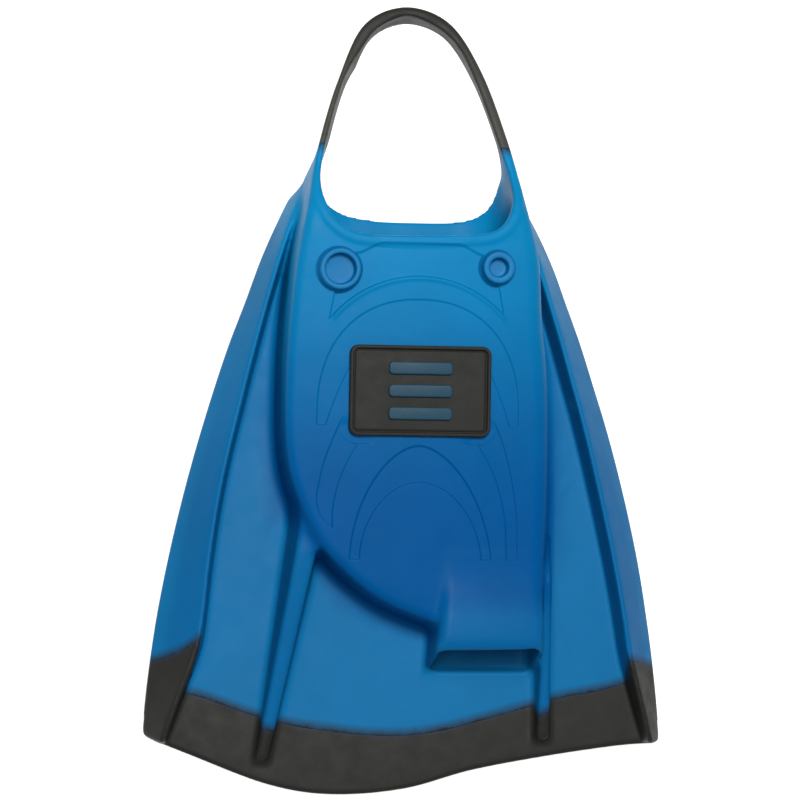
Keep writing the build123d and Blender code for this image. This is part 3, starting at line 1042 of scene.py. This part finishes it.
def charcoal_silicone():
    """Charcoal with a painted sheen, paler up the strap, painted shade, darker on its crest, and
    tinged where it meets the blue.
    """
    f = Finish("charcoal_silicone")
    place = f.nodes.new("ShaderNodeSeparateXYZ")
    f.links.new(f.where, place.inputs[0])
    # painted shade: the strap's crest is painted back to the tip's darker charcoal
    crest_shade = f.spread(place.outputs["Y"], 0.13, 0.168, 0.0, 1.0)
    body = f.mix(crest_shade, f.mix(heel_light_ramp(f), CHARCOAL_TIP, CHARCOAL_HEEL_LIT), CHARCOAL_TIP)
    colour = mottled(f, body, 45, 0.06)
    near = f.spread(f.attribute("edge"), 0.0, 1.6, 0.12, 0.0)
    colour = f.mix(near, colour, BLUE_TOE)
    rough = f.spread(f.noise(110, 3), 0.3, 0.7, 0.44, 0.60)
    normal = f.bump(f.noise(2400, 2, 0.6), 0.12, 0.0002)
    normal = f.bump(f.noise(170, 3, 0.5), 0.10, 0.0010, normal)
    f.shader.inputs["Specular IOR Level"].default_value = 0.14
    return f.finish(colour, rough, normal)


def trim_silicone(name, base, grain, rough):
    """One colour with clouds, for the small pieces."""
    f = Finish(name)
    node = f.nodes.new("ShaderNodeRGB")
    node.outputs[0].default_value = (*base, 1)
    colour = mottled(f, node.outputs[0], 70, 0.07)
    roughness = f.spread(f.noise(130, 3), 0.3, 0.7, rough - 0.06, rough + 0.08)
    normal = f.bump(f.noise(2000, 2, 0.6), grain, 0.0003)
    f.shader.inputs["Specular IOR Level"].default_value = 0.14
    return f.finish(colour, roughness, normal)


blue_moulding.data.materials.append(blue_silicone())
charcoal = charcoal_silicone()
charcoal_tip.data.materials.append(charcoal)
strap_loop.data.materials.append(charcoal)
ring_blue = trim_silicone("ring_blue", linear(5, 106, 160), 0.1, 0.46)
for piece in (large_ring, small_ring):
    piece.data.materials.append(ring_blue)
treads.data.materials.append(trim_silicone("tread_blue", linear(4, 92, 158), 0.2, 0.52))
badge.data.materials.append(trim_silicone("badge_grey", linear(38, 38, 36), 0.3, 0.55))
teal = trim_silicone("badge_teal", linear(27, 62, 80), 0.15, 0.42)
for bar in bars:
    bar.data.materials.append(teal)

# ------------------------------------------------------------------ stage
floor_mesh = bpy.data.meshes.new("floor")
REACH = 4  # metres from the middle to the floor's edges
corners = [(-REACH, -REACH, 0), (REACH, -REACH, 0), (REACH, REACH, 0), (-REACH, REACH, 0)]
floor_mesh.from_pydata(corners, [], [(0, 1, 2, 3)])
floor = bpy.data.objects.new("floor", floor_mesh)
bpy.context.scene.collection.objects.link(floor)
paper = bpy.data.materials.new("floor_white")
paper.use_nodes = True
sheet = paper.node_tree.nodes["Principled BSDF"]
sheet.inputs["Base Color"].default_value = (0.4, 0.4, 0.4, 1)
sheet.inputs["Roughness"].default_value = 0.9
sheet.inputs["Specular IOR Level"].default_value = 0.1
sheet.inputs["Emission Color"].default_value = (1, 1, 1, 1)
sheet.inputs["Emission Strength"].default_value = 0.92
floor.data.materials.append(paper)

world = bpy.data.worlds.new("studio")
bpy.context.scene.world = world
world.use_nodes = True
world.node_tree.nodes["Background"].inputs[0].default_value = (1, 1, 1, 1)
world.node_tree.nodes["Background"].inputs[1].default_value = 0.22
bpy.context.scene.view_settings.view_transform = "Standard"


def area(name, place, aim, size, power):
    """A soft rectangular lamp."""
    data = bpy.data.lights.new(name, "AREA")
    data.shape = "RECTANGLE"
    data.size, data.size_y = size
    data.energy = power
    lamp = bpy.data.objects.new(name, data)
    bpy.context.scene.collection.objects.link(lamp)
    lamp.location = place
    lamp.rotation_euler = (Vector(aim) - Vector(place)).to_track_quat("-Z", "Y").to_euler()


area("key", (0.02, 0.25, 1.2), (0, 0.05, 0.02), (0.30, 0.26), 10.8)
area("fill", (-0.25, 0.05, 1.7), (0, 0, 0), (0.8, 0.8), 10.0)


CAMERA_SIDE, CAMERA_TOE = math.radians(9.0), math.radians(6.0)  # lean to -X, lean to -Y
CAMERA_AWAY, CAMERA_LENS = 1.4, 143.2
CAMERA_AIM = Vector((-0.0035, 0, 0.020))


def camera():
    """Almost straight above, with the strap at the top of the picture."""
    back = Vector(
        (
            -math.sin(CAMERA_SIDE) * math.cos(CAMERA_TOE),
            -math.sin(CAMERA_TOE),
            math.cos(CAMERA_SIDE) * math.cos(CAMERA_TOE),
        )
    ).normalized()
    right = Vector((0, 1, 0)).cross(back).normalized()
    up = back.cross(right)
    data = bpy.data.cameras.new("camera")
    data.lens = CAMERA_LENS
    data.sensor_width = 36.0
    eye = bpy.data.objects.new("camera", data)
    bpy.context.scene.collection.objects.link(eye)
    turn = Matrix((right, up, back)).transposed().to_4x4()
    eye.matrix_world = Matrix.Translation(CAMERA_AIM + back * CAMERA_AWAY) @ turn
    bpy.context.scene.camera = eye


camera()
